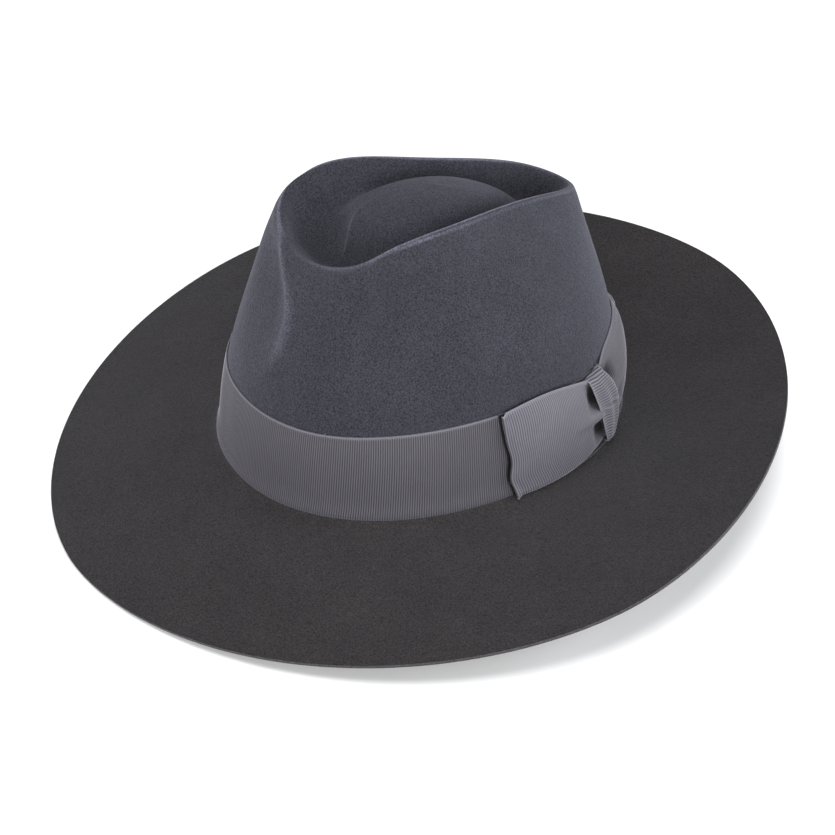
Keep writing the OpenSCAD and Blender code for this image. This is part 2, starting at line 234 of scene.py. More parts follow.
def along(c, s):
    """The points at distance s along the columns c of a cubic B-spline. s counts control points
    from the brim's edge."""
    s = np.broadcast_to(s, c.shape[1:-1])
    i = np.minimum(np.floor(s), COLUMN_END - 1).astype(int)
    u = (s - i)[..., None]
    p = [np.take_along_axis(c, (i + k)[None, ..., None], 0)[0] for k in range(4)]
    return ((1 - u) ** 3 * p[0] + (3 * u ** 3 - 6 * u * u + 4) * p[1]
            + (-3 * u ** 3 + 3 * u * u + 3 * u + 1) * p[2] + u ** 3 * p[3]) / 6


def normal_at(t, s):
    """The skin's outward normal."""
    d, e = 0.008, 0.03
    c = control_columns(t)
    round_it = along(control_columns(t + d), s) - along(control_columns(t - d), s)
    up_it = along(c, np.minimum(s + e, COLUMN_END)) - along(c, np.maximum(s - e, 0))
    n = np.cross(round_it, up_it)
    return n / np.linalg.norm(n, axis=-1, keepdims=True)


def smooth(x, low, high):
    """0 below low and 1 above high, with a smooth step between."""
    u = np.clip((x - low) / (high - low), 0, 1)
    return u * u * (3 - 2 * u)


def bell(x, reach):
    """1 where x is 0, falling smoothly to nearly 0 at twice the reach."""
    return np.exp(-(x / reach) ** 2)


def crease_line(t, z):
    """Degrees from the crisp crease down the crown's front, and its strength at that height."""
    (top, top_bend, top_reach), (foot, foot_bend, foot_reach) = CREASE_TOP, CREASE_FOOT
    line = CREASE_ANGLE - top_bend * (np.maximum(z - top, 0) / top_reach) ** 2
    line = line - foot_bend * (np.maximum(foot - z, 0) / foot_reach) ** 2
    return line - np.degrees(t), smooth(z, 52, 84) * (1 - 0.5 * smooth(z, 106, 118))


def relief(t, z):
    """How far the crown stands out at its front crease, or in at its hollows and side dents."""
    beside, high = crease_line(t, z)
    hollow = FACE_HOLLOW * smooth(beside, 0, 9) * (1 - smooth(beside, 13, 32))
    hollow = hollow + CHEEK_HOLLOW * smooth(-beside, 3, 18) * (1 - smooth(-beside, 24, 44))
    aside = np.hypot((np.abs(np.degrees(t)) - DENT_MIDDLE[0]) / DENT_HALF_SIZE[0],
                     (z - DENT_MIDDLE[1]) / DENT_HALF_SIZE[1])
    dent = SIDE_DENT * (1 - smooth(aside, 0.65, 1.25))
    return high * (CREASE_LIFT * bell(beside, CREASE_HALF_WIDTH) - hollow) - dent


def skin(t, s, depth=0.0):
    """Points on the skin, or a depth below it."""
    t, s, depth = np.broadcast_arrays(np.asarray(t, float), s, depth)
    p, n = along(control_columns(t), s), normal_at(t, s)
    out = relief(t, p[..., 2] - break_z(t))[..., None] * n * [1, 1, 0]
    sides = smooth(np.abs(t), 0.7, 1.15) * (1 - 0.6 * smooth(np.abs(t), 2.4, 2.9))
    rim = RIM_LIFT * bell(s - RIDGE_S, RIM_REACH) * sides
    return p + out + n * (rim - depth)[..., None]


def s_at(t, z):
    """The distance s at which the wall reaches height z."""
    c = control_columns(t)
    lo, hi = np.full(t.shape, BREAK_S), np.full(t.shape, RIDGE_S)
    for _ in range(16):
        m = (lo + hi) / 2
        below = along(c, m)[..., 2] < z
        lo, hi = np.where(below, m, lo), np.where(below, hi, m)
    return (lo + hi) / 2


def wall_at(t, z, lift):
    """Points on the wall at height z over the break, moved straight out by lift."""
    t, z, lift = np.broadcast_arrays(np.asarray(t, float), z, lift)
    s = s_at(t, break_z(t) + np.maximum(z, 4))
    n = normal_at(t, s) * [1, 1, 0]
    n /= np.linalg.norm(n, axis=-1, keepdims=True)
    p = along(control_columns(t), s) + n * lift[..., None]
    p[..., 2] = break_z(t) + z
    return p


# ---------------------------------------------------------------- making meshes


def new_object(name, verts, faces, material, attributes=None):
    """A smooth object of verts in millimetres. faces is one array of corner indices for each
    number of corners, and attributes holds one number for each vertex, by name."""
    mesh = bpy.data.meshes.new(name)
    loops = np.concatenate([f.ravel() for f in faces]).astype(np.int32)
    sizes = np.concatenate([np.full(len(f), f.shape[1]) for f in faces])
    starts = np.concatenate([[0], np.cumsum(sizes)[:-1]]).astype(np.int32)
    mesh.vertices.add(len(verts))
    mesh.vertices.foreach_set("co", (np.asarray(verts, np.float64) * MM).astype(np.float32).ravel())
    mesh.loops.add(len(loops))
    mesh.loops.foreach_set("vertex_index", loops)
    mesh.polygons.add(len(sizes))
    mesh.polygons.foreach_set("loop_start", starts)
    mesh.update(calc_edges=True)
    mesh.validate()
    mesh.polygons.foreach_set("use_smooth", np.ones(len(mesh.polygons), bool))
    for key, values in (attributes or {}).items():
        layer = mesh.attributes.new(key, "FLOAT", "POINT")
        layer.data.foreach_set("value", np.asarray(values, np.float32).ravel())
    mesh.materials.append(material)
    obj = bpy.data.objects.new(name, mesh)
    bpy.context.scene.collection.objects.link(obj)
    return obj


def quads(nu, nv, wrap_u, wrap_v, first=0, flip=False):
    """The faces of a grid of nu by nv points."""
    i = np.arange(nu if wrap_u else nu - 1)[:, None]
    j = np.arange(nv if wrap_v else nv - 1)[None, :]
    i2, j2 = (i + 1) % nu, (j + 1) % nv
    q = np.stack([i * nv + j, i2 * nv + j, i2 * nv + j2, i * nv + j2], -1).reshape(-1, 4) + first
    return q[:, ::-1] if flip else q


def grid_object(name, grid, material, wrap_u=False, wrap_v=False, flip=False, attributes=None):
    nu, nv = grid.shape[:2]
    return new_object(name, grid.reshape(-1, 3), [quads(nu, nv, wrap_u, wrap_v, flip=flip)],
                      material, attributes)


def capped_tube(name, grid, material, attributes=None):
    """A tube of closed sections, with a flat cap of many corners at each end."""
    nu, nv = grid.shape[:2]
    start = np.arange(nv)[None, :]
    caps = np.concatenate([start, start[:, ::-1] + (nu - 1) * nv])
    return new_object(name, grid.reshape(-1, 3), [quads(nu, nv, False, True), caps], material,
                      attributes)


def closed_skin(name, grid, poles, material, attributes=None):
    """A grid wrapped round the hat, each end of its columns closed by triangles to a pole."""
    columns, rows = grid.shape[:2]
    i = np.arange(columns) * rows
    i2 = np.roll(i, -1)
    start, end = np.full(columns, columns * rows), np.full(columns, columns * rows + 1)
    fans = np.concatenate([np.stack([start, i2, i], -1),
                           np.stack([end, i + rows - 1, i2 + rows - 1], -1)])
    return new_object(name, np.concatenate([grid.reshape(-1, 3), poles]),
                      [quads(columns, rows, True, False), fans], material, attributes)


def thread_object(name, starts, ends, bulge, radius, material):
    """Short stitches: each one is a small tube that arches from start to end along bulge."""
    rings, sides = 7, 6
    u = np.linspace(0, 1, rings)[None, :, None]
    starts, ends, bulge = (np.asarray(v, float)[:, None, :] for v in (starts, ends, bulge))
    path = starts + (ends - starts) * u + bulge * np.sin(np.pi * u)
    run = (ends - starts) / np.linalg.norm(ends - starts, axis=-1, keepdims=True)
    up = bulge - run * np.sum(bulge * run, -1, keepdims=True)
    up /= np.linalg.norm(up, axis=-1, keepdims=True)
    side = np.cross(run, up)
    a = np.linspace(0, 2 * np.pi, sides, endpoint=False)[None, None, :, None]
    r = radius * (0.45 + 0.55 * np.sin(np.pi * u) ** 0.4)[..., None]
    rings_xyz = path[:, :, None, :] + r * (np.cos(a) * up[:, :, None] + np.sin(a) * side[:, :, None])
    verts, faces, caps = rings_xyz.reshape(-1, 3), [], []
    for k in range(len(starts)):
        first = k * rings * sides
        faces.append(quads(rings, sides, False, True, first))
        row = np.arange(sides) + first
        caps += [row, row[::-1] + (rings - 1) * sides]
    return new_object(name, verts, [np.concatenate(faces), np.array(caps)], material)


def ride(obj, *nodes, slot):
    """Hang a visible object on the root body, and hide the CAD nodes that it stands for."""
    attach(obj, "root")
    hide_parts(*nodes)
    return obj


# ---------------------------------------------------------------- materials


class Nodes:
    """A short way to build a material's nodes."""

    def __init__(self, name):
        self.material = bpy.data.materials.new(name)
        self.material.use_nodes = True
        self.tree = self.material.node_tree
        self.shader = self.tree.nodes["Principled BSDF"]

    def add(self, kind, **values):
        n = self.tree.nodes.new(kind)
        for key, value in values.items():
            if hasattr(n, key):
                setattr(n, key, value)
            else:
                n.inputs[key.replace("_", " ")].default_value = value
        return n

    def link(self, a, b):
        self.tree.links.new(a, b)

    def coords(self, scale=(1, 1, 1)):
        """Object coordinates in millimetres, stretched by scale."""
        c = self.add("ShaderNodeTexCoord")
        m = self.add("ShaderNodeMapping")
        m.inputs["Scale"].default_value = [x / MM for x in scale]
        self.link(c.outputs["Object"], m.inputs["Vector"])
        return m.outputs["Vector"]

    def noise(self, per_mm, detail=3.0, rough=0.55, stretch=(1, 1, 1)):
        n = self.add("ShaderNodeTexNoise", Scale=per_mm, Detail=detail, Roughness=rough)
        self.link(self.coords(stretch), n.inputs["Vector"])
        return n.outputs["Fac"]

    def attribute(self, name):
        return self.add("ShaderNodeAttribute", attribute_name=name).outputs["Fac"]

    def remap(self, value, low, high, to_low=0.0, to_high=1.0):
        n = self.add("ShaderNodeMapRange")
        for key, v in zip(("From Min", "From Max", "To Min", "To Max"),
                          (low, high, to_low, to_high)):
            n.inputs[key].default_value = v
        self.link(value, n.inputs["Value"])
        return n.outputs["Result"]

    def math(self, operation, a, b):
        n = self.add("ShaderNodeMath", operation=operation)
        for socket, value in zip(n.inputs, (a, b)):
            if isinstance(value, (int, float)):
                socket.default_value = value
            else:
                self.link(value, socket)
        return n.outputs[0]

    def mix(self, factor, a, b, blend="MIX"):
        n = self.add("ShaderNodeMix", data_type="RGBA", blend_type=blend)
        for socket, value in ((n.inputs["Factor"], factor), (n.inputs[6], a), (n.inputs[7], b)):
            if isinstance(value, (int, float)):
                socket.default_value = value
            elif isinstance(value, tuple):
                socket.default_value = (*value, 1)
            else:
                self.link(value, socket)
        return n.outputs[2]

    def bump(self, height, strength, distance_mm, under=None):
        n = self.add("ShaderNodeBump", Strength=strength, Distance=distance_mm * MM)
        self.link(height, n.inputs["Height"])
        if under is not None:
            self.link(under, n.inputs["Normal"])
        return n.outputs["Normal"]

    def finish(self, color, roughness, normal=None, **values):
        s = self.shader
        if isinstance(color, tuple):
            s.inputs["Base Color"].default_value = (*color, 1)
        else:
            self.link(color, s.inputs["Base Color"])
        if isinstance(roughness, (int, float)):
            s.inputs["Roughness"].default_value = roughness
        else:
            self.link(roughness, s.inputs["Roughness"])
        if normal is not None:
            self.link(normal, s.inputs["Normal"])
        for key, value in values.items():
            s.inputs[key.replace("_", " ")].default_value = value
        return self.material


def tint(color, factor):
    return tuple(min(c * factor, 1.0) for c in color)


# The brim is the crown's felt painted darker and warmer: painted shade.
CROWN_COLOR, BRIM_SHADED_COLOR = (0.0234, 0.0237, 0.0307), (0.0182, 0.0165, 0.0168)
RIBBON_COLOR = (0.040, 0.0380, 0.0460)


def felt_material():
    """Felt with a short nap. Its attributes say where a pale highlight is painted along sharp
    ridges, and where the brim is, which is painted darker and warmer as painted shade.
    """
    n = Nodes("fur_felt")
    # painted shade: the brim gets a darker, warmer colour than the crown
    base = n.mix(n.attribute("brim"), CROWN_COLOR, BRIM_SHADED_COLOR)
    cloud = n.remap(n.noise(0.035, 3), 0.3, 0.7, 0.9, 1.1)
    mottle = n.remap(n.noise(0.3, 3, 0.6), 0.3, 0.7, 0.93, 1.07)
    speck = n.remap(n.noise(1.35, 4, 0.75), 0.32, 0.68, 0.2, 2.0)
    amount = n.math("MULTIPLY", n.math("MULTIPLY", cloud, mottle), speck)
    # painted highlight: sharp ridges and the front crease are painted paler
    highlight_gain = n.math("ADD", n.math("MULTIPLY", n.attribute("ridge_highlight"), 2.4), 1.0)
    amount = n.math("MULTIPLY", amount, highlight_gain)
    gray = n.add("ShaderNodeCombineColor")
    for socket in gray.inputs[:3]:
        n.link(amount, socket)
    color = n.mix(1.0, base, gray.outputs[0], "MULTIPLY")
    nap = n.noise(0.9, 5, 0.7)
    pile = n.noise(0.22, 3, 0.5)
    normal = n.bump(nap, 1.0, 0.4, n.bump(pile, 0.3, 0.6))
    return n.finish(color, 0.95, normal, Sheen_Weight=0.17, Sheen_Roughness=0.42,
                    Sheen_Tint=(0.70, 0.72, 0.86, 1), Specular_IOR_Level=0.15)


def ribbon_material(name, base, valley_shade=0.02, ridge=1.95):
    """Ribbed ribbon. Its ribs and selvedges are in the mesh, and attributes say where they are.
    The valley and ridge tints paint shade between the ribs and a highlight on them, and the
    selvedges get a painted highlight."""
    n = Nodes(name)
    rib, edge = n.attribute("rib"), n.attribute("edge")
    # painted shade in the rib valleys and a painted highlight on the ribs
    color = n.mix(rib, tint(base, valley_shade), tint(base, ridge))
    color = n.mix(n.remap(n.noise(0.12, 2), 0.3, 0.7, 0, 0.2), color, tint(base, 0.8))
    # painted highlight along the selvedges
    color = n.mix(edge, color, tint(base, 3.0))
    color = n.mix(n.attribute("shade"), color, tint(base, 0.03))
    thread = n.noise(4.0, 2, 0.6, (1, 1, 0.25))
    normal = n.bump(thread, 0.35, 0.06)
    rough = n.remap(rib, 0, 1, 0.75, 0.5)
    return n.finish(color, rough, normal, Sheen_Weight=0.5, Sheen_Roughness=0.3,
                    Sheen_Tint=(0.85, 0.84, 0.92, 1), Specular_IOR_Level=0.35)


def leather_material():
    n = Nodes("sweatband_leather")
    base = (0.075, 0.042, 0.026)
    grain = n.add("ShaderNodeTexVoronoi", Scale=0.9, feature="DISTANCE_TO_EDGE")
    n.link(n.coords(), grain.inputs["Vector"])
    pores = n.remap(grain.outputs["Distance"], 0.0, 0.25)
    color = n.mix(n.remap(n.noise(0.05, 3), 0.3, 0.7), tint(base, 0.8), tint(base, 1.25))
    color = n.mix(pores, tint(base, 0.6), color)
    normal = n.bump(pores, 0.35, 0.08, n.bump(n.noise(0.3, 3), 0.2, 0.3))
    rough = n.remap(n.noise(0.2, 3), 0.3, 0.7, 0.42, 0.6)
    return n.finish(color, rough, normal, Specular_IOR_Level=0.45, Coat_Weight=0.08,
                    Coat_Roughness=0.4)


def satin_material():
    n = Nodes("satin_lining")
    base = (0.055, 0.055, 0.068)
    weave = n.noise(5.0, 1, 0.5, (1, 1, 0.15))
    color = n.mix(n.remap(n.noise(0.04, 2), 0.3, 0.7), tint(base, 0.85), tint(base, 1.2))
    normal = n.bump(weave, 0.25, 0.04)
    rough = n.remap(weave, 0.3, 0.7, 0.28, 0.42)
    return n.finish(color, rough, normal, Sheen_Weight=0.3, Sheen_Roughness=0.3,
                    Specular_IOR_Level=0.6, Anisotropic=0.4)


def cloth_material(name, base, rough=0.8, per_mm=3.0):
    n = Nodes(name)
    weave = n.noise(per_mm, 3, 0.6)
    color = n.mix(n.remap(weave, 0.3, 0.7), tint(base, 0.7), tint(base, 1.3))
    return n.finish(color, rough, n.bump(weave, 0.4, 0.08), Sheen_Weight=0.3)


def plastic_material():
    n = Nodes("reed_plastic")
    cloud = n.remap(n.noise(0.2, 2), 0.3, 0.7)
    color = n.mix(cloud, (0.5, 0.5, 0.46), (0.62, 0.62, 0.58))
    return n.finish(color, n.remap(cloud, 0, 1, 0.3, 0.4), n.bump(cloud, 0.1, 0.05),
                    Subsurface_Weight=0.15)


FELT_MAT = felt_material()
BAND_MAT = ribbon_material("grosgrain_band", RIBBON_COLOR)
# painted highlight: the bow's front loop and its knot are the band's ribbon painted lighter, and the
# knot's ribs get darker painted shade and a brighter painted highlight
BOW_MAT = ribbon_material("grosgrain_bow", tint(RIBBON_COLOR, 1.6))
KNOT_MAT = ribbon_material("bow_wrap_ribbon", tint(RIBBON_COLOR, 1.35), 0.01, 2.3)
LEATHER_MAT = leather_material()
SATIN_MAT = satin_material()
THREAD_MAT = cloth_material("sewing_thread", (0.07, 0.07, 0.08), 0.6, 6.0)
SEAM_THREAD_MAT = cloth_material("seam_thread", (0.3, 0.24, 0.17), 0.6, 6.0)
TAPE_MAT = cloth_material("reed_tape_cloth", (0.035, 0.033, 0.034))
SEAM_RIBBON_MAT = cloth_material("seam_ribbon_satin", (0.018, 0.018, 0.021), 0.45, 4.0)
PIPING_MAT = cloth_material("piping_satin", (0.03, 0.03, 0.037), 0.45, 5.0)
PAPER_MAT = cloth_material("tag_paper", (0.72, 0.7, 0.64), 0.85, 2.0)
REED_MAT = plastic_material()

# ---------------------------------------------------------------- the felt body


def ring(count):
    """Even angles round the hat."""
    return np.linspace(-np.pi, np.pi, count, endpoint=False) + 1e-3


def convexity(grid):
    """How sharply the felt bends outward at each point, from 0 to 1."""
    spread = []
    for step in (2, 5):
        ahead, behind = np.roll(grid, -step, 0), np.roll(grid, step, 0)
        up = np.concatenate([grid[:, step:], np.repeat(grid[:, -1:], step, 1)], 1)
        down = np.concatenate([np.repeat(grid[:, :1], step, 1), grid[:, :-step]], 1)
        total = 0
        for a, b in ((ahead, behind), (up, down)):
            reach = np.maximum(np.linalg.norm(a - b, axis=-1) / 2, 0.5)
            total = total + ((a + b) / 2 - grid) / (reach ** 2)[..., None]
        spread.append(total)
    bend = sum(spread) / len(spread)
    n = np.cross(np.roll(grid, -1, 0) - np.roll(grid, 1, 0), np.gradient(grid, axis=1))
    n /= np.maximum(np.linalg.norm(n, axis=-1, keepdims=True), 1e-9)
    sharp = np.sum(bend * n, -1)
    return np.clip((sharp - 0.07) / 0.16, 0, 1)


def steps(stops, counts):
    """Values from the first stop to the last, with a count of even steps between each pair."""
    parts = [np.linspace(a, b, n, endpoint=False) for a, b, n in zip(stops, stops[1:], counts)]
    return np.concatenate(parts + [stops[-1:]])


def felt_ridge_highlight(grid, t, s):
    """How much painted highlight each point of the outer felt gets: pale along the rim, the front
    crease and other sharp ridges, less near the front of the rim.
    """
    below_dome = 1 - smooth(s, RIDGE_S + 0.4, RIDGE_S + 1)
    at_rim = smooth(s, RIDGE_S - 1.3, RIDGE_S - 0.6)
    front_rim_highlight_cut = 1 - 0.7 * bell(np.degrees(t) - 4, 24)[:, None] * at_rim
    beside, high = crease_line(t[:, None], grid[..., 2] - break_z(t)[:, None])
    crease = 0.3 * high * bell(beside, 1.7) * (s < RIDGE_S)
    return convexity(grid) ** 1.5 * below_dome * front_rim_highlight_cut + crease


def make_felt():
    columns, cut = 400, 0.28
    t = ring(columns)
    end = COLUMN_END - 0.3
    stops = (0.0, BREAK_S - 1, BREAK_S + 1, RIDGE_S - 1.5, RIDGE_S + 1.5, end)
    outer_s = steps(stops[::-1], (34, 34, 28, 18, 29))
    inner_s = steps(stops, (16, 10, 12, 18, 15))
    s = np.concatenate([outer_s, inner_s])
    depth = np.concatenate([np.zeros(len(outer_s)), np.full(len(inner_s), FELT)])
    grid = skin(t[:, None], s[None, :], depth[None, :])
    # the raw edge: a small bevel above and below a flat cut
    rim = len(outer_s)
    inward = grid[:, rim - 1] - brim_point(t, 0.97)
    inward /= np.linalg.norm(inward, axis=-1, keepdims=True)
    n = normal_at(t, np.zeros(columns))
    edge = [grid[:, rim - 1] - inward * cut, grid[:, rim - 1] - n * cut,
            grid[:, rim - 1] - n * (FELT - cut), grid[:, rim] - inward * cut]
    grid = np.concatenate([grid[:, :rim - 1], np.stack(edge, 1), grid[:, rim + 1:]], 1)
    s = np.concatenate([s[:rim - 1], [0] * len(edge), s[rim + 1:]])
    rows = grid.shape[1]
    # painted highlight: along the outer felt's sharp ridges, and a pale line on the bevels of the
    # raw edge
    ridge_highlight = np.concatenate([felt_ridge_highlight(grid[:, :rim - 1], t, s[:rim - 1]),
                           np.full((columns, 2), 0.7), np.zeros((columns, rows - rim - 1))], 1)
    # the brim's painted shade reaches up to just above the break, under the band
    brim = np.broadcast_to(1 - smooth(s, BREAK_S + 0.1, BREAK_S + 1.0), ridge_highlight.shape)
    attributes = {"ridge_highlight": np.append(ridge_highlight, [0, 0]), "brim": np.append(brim, [0, 0])}
    middle = dome_point(np.array([0.1]), 0)[0]
    felt = closed_skin("felt_crown_and_brim", grid, [middle, middle - [0, 0, FELT]], FELT_MAT,
                       attributes)
    ride(felt, "felt_body", slot="felt")


# ---------------------------------------------------------------- ribbons


def rib(length):
    """Height of the ribs along a ribbon, from 0 in a valley to 1 on a rib."""
    return np.abs(np.sin(np.pi * length / RIB_PITCH)) ** 1.1


def ribbon_rows():
    """Shares of the ribbon's width, close together at its selvedges."""
    return np.concatenate([[0, 0.008, 0.02, 0.032], np.linspace(0.05, 0.95, 13),
                           [0.968, 0.98, 0.992, 1]])


def wall_length(t, z, lift):
    """The distance along the wall at height z, from the first angle in t."""
    p = wall_at(t, np.full(t.shape, z), lift)
    return np.concatenate([[0], np.cumsum(np.linalg.norm(np.diff(p, axis=0), axis=1))])


def bow_shade(t, v):
    """Where the band lies in the bow's shade: from just before the front fold to the rear one."""
    degrees = np.degrees(t)[:, None]
    fold = FRONT_LOOP.fold[0] + (FRONT_LOOP.fold[1] - FRONT_LOOP.fold[0]) * v + fold_wave(v)
    shade = smooth(degrees - fold[None, :], -0.6, -0.1)
    behind_knot = 1 - 0.5 * smooth(degrees, 134, 137)
    return shade * behind_knot * (1 - smooth(degrees, REAR_LOOP.fold[0] - 4, REAR_LOOP.fold[0]))


def make_band():
    t_fine = np.radians(np.linspace(-225, 135, 1441))
    run = wall_length(t_fine, RIBBON_TOP / 2, 0.5)
    ribs = int(round(run[-1] / RIB_PITCH))
    length = np.arange(ribs * 4) * run[-1] / (ribs * 4)
    t = np.interp(length, run, t_fine)
    t = (t + np.pi) % (2 * np.pi) - np.pi
    v = ribbon_rows()
    ridge = rib(length * RIB_PITCH * ribs / run[-1])[:, None]
    # selvedge shapes the band's edges and marks where the material paints their highlight
    selvedge = np.clip(1 - np.minimum(v, 1 - v) / 0.024, 0, 1)[None, :]
    frill = 0.16 * ridge * np.where(v < 0.5, -1, 1) * (np.minimum(v, 1 - v) < 0.01)[None, :]
    z = RIBBON_LIFT + RIBBON_WIDTH * v[None, :] + frill
    relief_here = RIB_HEIGHT * (ridge - 0.5) * (1 - 0.5 * selvedge) + 0.05 * selvedge
    front = wall_at(t[:, None], z, BAND_GAP + RIBBON + relief_here)
    back = wall_at(t[:, None], z[:, [-1, 10, 0]], np.full((len(t), 3), BAND_GAP))
    attributes = {}
    for key, values in (("shade", bow_shade(t, v)), ("rib", ridge), ("edge", selvedge)):
        values = np.broadcast_to(values, front.shape[:2])
        attributes[key] = np.concatenate([values, np.zeros(back.shape[:2])], 1)
    band = grid_object("ribbed_band", np.concatenate([front, back], 1), BAND_MAT, True, True,
                       True, attributes)
    ride(band, "band_ribbon", slot="ribbon")


def strip(name, mid, thickness, material, phase=None, relief=RIB_HEIGHT, wrap=False,
          shade=None):
    """A strip of cloth around its middle surface, a grid whose columns run across the strip.
    phase is the distance along the ribbon at each point, from which its ribs come."""
    if wrap:
        around = (np.roll(mid, -1, 0) - np.roll(mid, 1, 0)) / 2
    else:
        around = np.gradient(mid, axis=0)
    n = np.cross(around, np.gradient(mid, axis=1))
    n /= np.linalg.norm(n, axis=-1, keepdims=True)
    half = np.full(mid.shape[:2], thickness / 2)
    half[:, [0, -1]] *= 0.4
    edge = ridge = np.zeros(mid.shape[:2])
    if phase is not None:
        across = np.linalg.norm(np.diff(mid, axis=1), axis=-1).mean(0)
        v = np.concatenate([[0], np.cumsum(across)])
        # edge: the last millimetre at each selvedge, which the material paints with a highlight
        edge = np.broadcast_to(np.clip(1 - np.minimum(v, v[-1] - v), 0, 1), edge.shape)
        ridge = rib(phase)
        half = half + relief * (ridge - 0.5)
    grid = np.concatenate([mid + n * half[..., None], (mid - n * half[..., None])[:, ::-1]], 1)
    attributes = {"rib": np.concatenate([ridge, ridge[:, ::-1]], 1),
                  "edge": np.concatenate([edge, edge[:, ::-1]], 1)}
    if wrap:
        return grid_object(name, grid, material, True, True, False, attributes)
    if shade is not None:
        attributes["shade"] = np.concatenate([shade, shade[:, ::-1]], 1)
    return capped_tube(name, grid, material, attributes)


def evenly(path, step):
    """Shares of the way through a path of points, an even step apart, and their lengths."""
    run = np.concatenate([[0], np.cumsum(np.linalg.norm(np.diff(path, axis=0), axis=1))])
    length = np.linspace(0, run[-1], int(round(run[-1] / step)))
    return np.interp(length, run, np.linspace(0, 1, len(path))), length


def fold_wave(v):
    """How far the folded end of the bow strays from straight, in degrees."""
    return 0.6 * bell(v - 0.5, 0.13) - 1.0 * bell(v - 0.24, 0.11)


def loop_top(w, v, loop):
    """Lift of a loop's outer layer over its inner one, and how deep it lies in a hollow.
    w runs from 0 at the fold to 1 at the knot, and v from the lower edge to the upper."""
    puff = 2 + loop.spread * np.sin(np.pi * np.clip(0.06 + 0.86 * w, 0, 1)) ** 0.75
    puff = puff * (loop.hug + (1 - loop.hug) * np.sin(np.pi * v) ** 0.6)
    pucker = 0.5 * bell(w - 0.02, 0.03) * (bell(v - 0.93, 0.05) + bell(v - 0.13, 0.06))
    ridge = 1.3 * smooth(w, 0.6, 0.95) * bell(v - 0.48, 0.1)
    crease = 0.55 * smooth(w, 0.62, 0.8) * bell(v - 0.395, 0.035)
    dive = smooth(w, 0.815, 0.93) * sum(
        np.maximum(np.cos(np.pi / 2 * np.clip((v - middle) / half, -1, 1)), 0) ** 0.7
        for middle, half in loop.hollows)
    return (puff + ridge - crease - pucker) * (1 - 0.97 * np.clip(dive, 0, 1)), dive


def loop_point(q, v, loop):
    """Points on a loop of the bow, and how much painted shade they get, in the hollows beside the
    knot and under the lip of the fold. q runs from -1 under the knot, out along the band, round the
    fold at 0 and back to the knot at 1."""
    turn = 0.03
    at_turn, outer = np.abs(q) < turn, q > 0
    w = np.clip((np.abs(q) - turn) / (1 - turn), 0, 1)
    turned = np.clip((q / turn + 1) / 2, 0, 1)
    # round the hat
    fold_t = loop.fold[0] + (loop.fold[1] - loop.fold[0]) * v
    end_t = loop.end[0] + (loop.end[1] - loop.end[0]) * v
    way = np.sign(end_t - fold_t)
    lip = 2.6 * (1 - turned) ** 1.4 + 0.5 * np.maximum(turned - 0.7, 0) ** 2 / 0.09
    start_t = fold_t + way * fold_wave(v) + way * np.degrees(lip / 100)
    arc = -3.4 * np.sin(np.pi * v ** 0.8) * 4 * w * w * (1 - w) * outer
    arc = arc + 0.9 * np.sin(2.6 * np.pi * v + 0.8) * 4 * w * (1 - w) ** 1.5 * outer
    t = start_t + (end_t - start_t) * w + way * arc
    # up the crown
    low = RIBBON_LIFT + 0.2 + outer * loop.rise * w ** 2.4
    high = np.where(outer, RIBBON_TOP + 1 + loop.crest * np.sin(np.pi * w) - loop.sink * w ** 3,
                    RIBBON_TOP - 0.8)
    z = low + (high - low) * v + loop.climb * (1 - w ** 4)
    z = z - 0.25 * loop.climb * (1 - smooth(w, 0, 0.3)) * v ** 2
    # out from the felt
    top, dive = loop_top(w, v, loop)
    fold_r = FOLD_R * (1 - 0.75 * smooth(z, RIBBON_TOP + 4, RIBBON_TOP + 8))
    bend = np.clip(q / turn, -1, 1) * np.pi / 2
    blend = smooth(w, 0, 0.06)
    lift = np.where(outer, 2 * fold_r * (1 - blend) + top * blend, 0)
    lift = INNER_LIFT + np.where(at_turn, fold_r * (1 + np.sin(bend)), lift)
    lift = lift - 1.2 * smooth(z, RIBBON_TOP + 0.5, RIBBON_TOP + 6)
    # painted shade: in the hollows beside the knot and on the underside of the fold
    painted_shade = np.where(outer, np.clip(1.1 * dive, 0, 1), 1)
    painted_shade = np.where(at_turn, 1 - smooth(turned, 0.62, 0.95), painted_shade)
    return wall_at(np.radians(t), z, lift), painted_shade


def make_loop(name, node, loop, material):
    line = np.linspace(-1, 1, 1201)
    path, _ = loop_point(line, np.full(line.shape, 0.5), loop)
    share, run = evenly(path, RIB_PITCH / 4)
    q = (share * 2 - 1)[:, None]
    v = np.concatenate([[0, 0.012, 0.028], np.linspace(0.05, 0.95, 27), [0.972, 0.988, 1]])
    mid, painted_shade = loop_point(q, v[None, :], loop)
    phase = np.broadcast_to(run[:, None], mid.shape[:2])
    fold = strip(name, mid, RIBBON - 0.1, material, phase, shade=painted_shade)
    ride(fold, node, slot="ribbon")


def knot_point(w, c):
    """Points on the knot: w from its upper end to its lower, c from its front edge to its back."""
    phi = np.pi * w
    z = KNOT_MIDDLE + KNOT_HALF_HEIGHT * np.sign(np.cos(phi)) * np.abs(np.cos(phi)) ** 0.42
    a = np.clip((z - 5) / 38, 0, 1.05)
    z = z + (2.6 * c - 3.6) * smooth(z, 22, 44)
    front, back = 129 - 5.4 * a ** 0.75, 133 + 15.4 * a - 16.5 * a * a
    t = front + (back - front) * c
    out = 0.3 + KNOT_LIFT * np.sin(phi) ** 0.36 + 0.9 * bell(z - 27, 14)
    fold = 0.35 * np.cos(4.2 * np.pi * (c - 0.42)) * bell(z - 24, 17)
    drop = 0.7 * np.abs(2 * c - 1) ** 2.5 * np.sin(phi) ** 0.5
    return wall_at(np.radians(t), z, np.maximum(out + fold - drop, 0.25))


